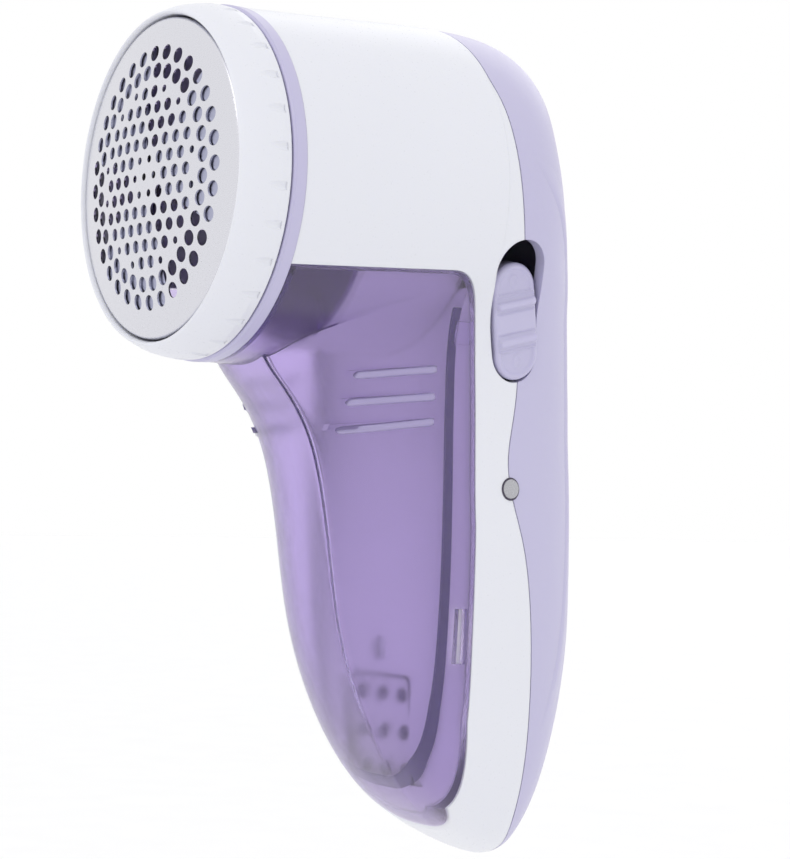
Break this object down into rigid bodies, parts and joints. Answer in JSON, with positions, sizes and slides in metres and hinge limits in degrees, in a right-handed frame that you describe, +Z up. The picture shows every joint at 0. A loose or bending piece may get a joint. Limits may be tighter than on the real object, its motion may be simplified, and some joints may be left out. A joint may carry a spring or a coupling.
{
  "type": "fabric shaver",
  "caption": "Hand-held rechargeable fabric shaver: round perforated foil head, side slide switch and a clear lint bin forming the front of the handle.",
  "frame": {"origin": "bottom centre of the whole object's box, under the tip of the handle", "axes": "+Z up the handle towards the round head, -Y the way the foil faces, X across the width"},
  "size_m": [0.0664, 0.0883, 0.155],
  "materials": {
    "white_plastic": "smooth satin-gloss moulded plastic",
    "lilac_plastic": "smooth satin-gloss moulded plastic",
    "clear_purple": "tinted translucent moulded plastic",
    "foil_steel": "bright rolled stainless steel",
    "blade_steel": "ground steel",
    "dark_plastic": "moulded black plastic",
    "plated_steel": "zinc-plated steel",
    "copper_winding": "enamelled copper wire and laminations",
    "brass_contact": "nickel-plated brass",
    "cell_sleeve": "shrink sleeve",
    "board_green": "solder-masked glass-epoxy board",
    "lens_grey": "frosted grey lens",
    "ferrite": "sintered ferrite"
  },
  "bodies": {
    "casing": {"collar_ring": "lilac_plastic", "motor_bush": "brass_contact", "motor_can": "plated_steel", "motor_magnets": "ferrite", "motor_end_cap": "dark_plastic", "motor_terminals": "brass_contact", "motor_drum": "white_plastic", "motor_screws": "plated_steel", "dust_plate": "dark_plastic", "front_housing": "white_plastic", "back_shell": "lilac_plastic", "partition": "white_plastic", "service_hatch": "white_plastic", "hatch_screw": "plated_steel", "housing_screws": "plated_steel", "switch_body": "dark_plastic", "switch_terminals": "brass_contact", "battery_cells": "cell_sleeve", "battery_contacts": "brass_contact", "battery_cradle": "dark_plastic", "circuit_board": "board_green", "board_parts": "dark_plastic", "led_lens": "lens_grey", "charge_led": "lens_grey", "charge_jack": "dark_plastic", "jack_contacts": "brass_contact"},
    "guard": {"guard_ring": "white_plastic", "foil": "foil_steel", "foil_clip_ring": "white_plastic"},
    "rotor": {"cutter_blades": "blade_steel", "blade_carrier": "dark_plastic", "cutter_spring": "plated_steel", "drive_shaft": "plated_steel", "drive_collar": "dark_plastic", "armature": "copper_winding"},
    "bin": {"lint_bin": "clear_purple"},
    "switch": {"switch_knob": "lilac_plastic", "switch_slider": "dark_plastic"}
  },
  "joints": [
    {"name": "guard_turn", "type": "hinge", "parent": "casing", "child": "guard", "pos_m": [0, -0.03815, 0.1218], "axis": [0, -1, 0], "range_deg": [0, 30]},
    {"name": "cutter_spin", "type": "hinge", "parent": "casing", "child": "rotor", "pos_m": [0, -0.03815, 0.1218], "axis": [0, -1, 0], "continuous": true},
    {"name": "bin_slide", "type": "slide", "parent": "casing", "child": "bin", "axis": [0, 0, -1], "range_m": [0, 0.112]},
    {"name": "switch_slide", "type": "slide", "parent": "casing", "child": "switch", "axis": [0.2005, -0.2305, 0.9522], "range_m": [0, 0.004]}
  ]
}
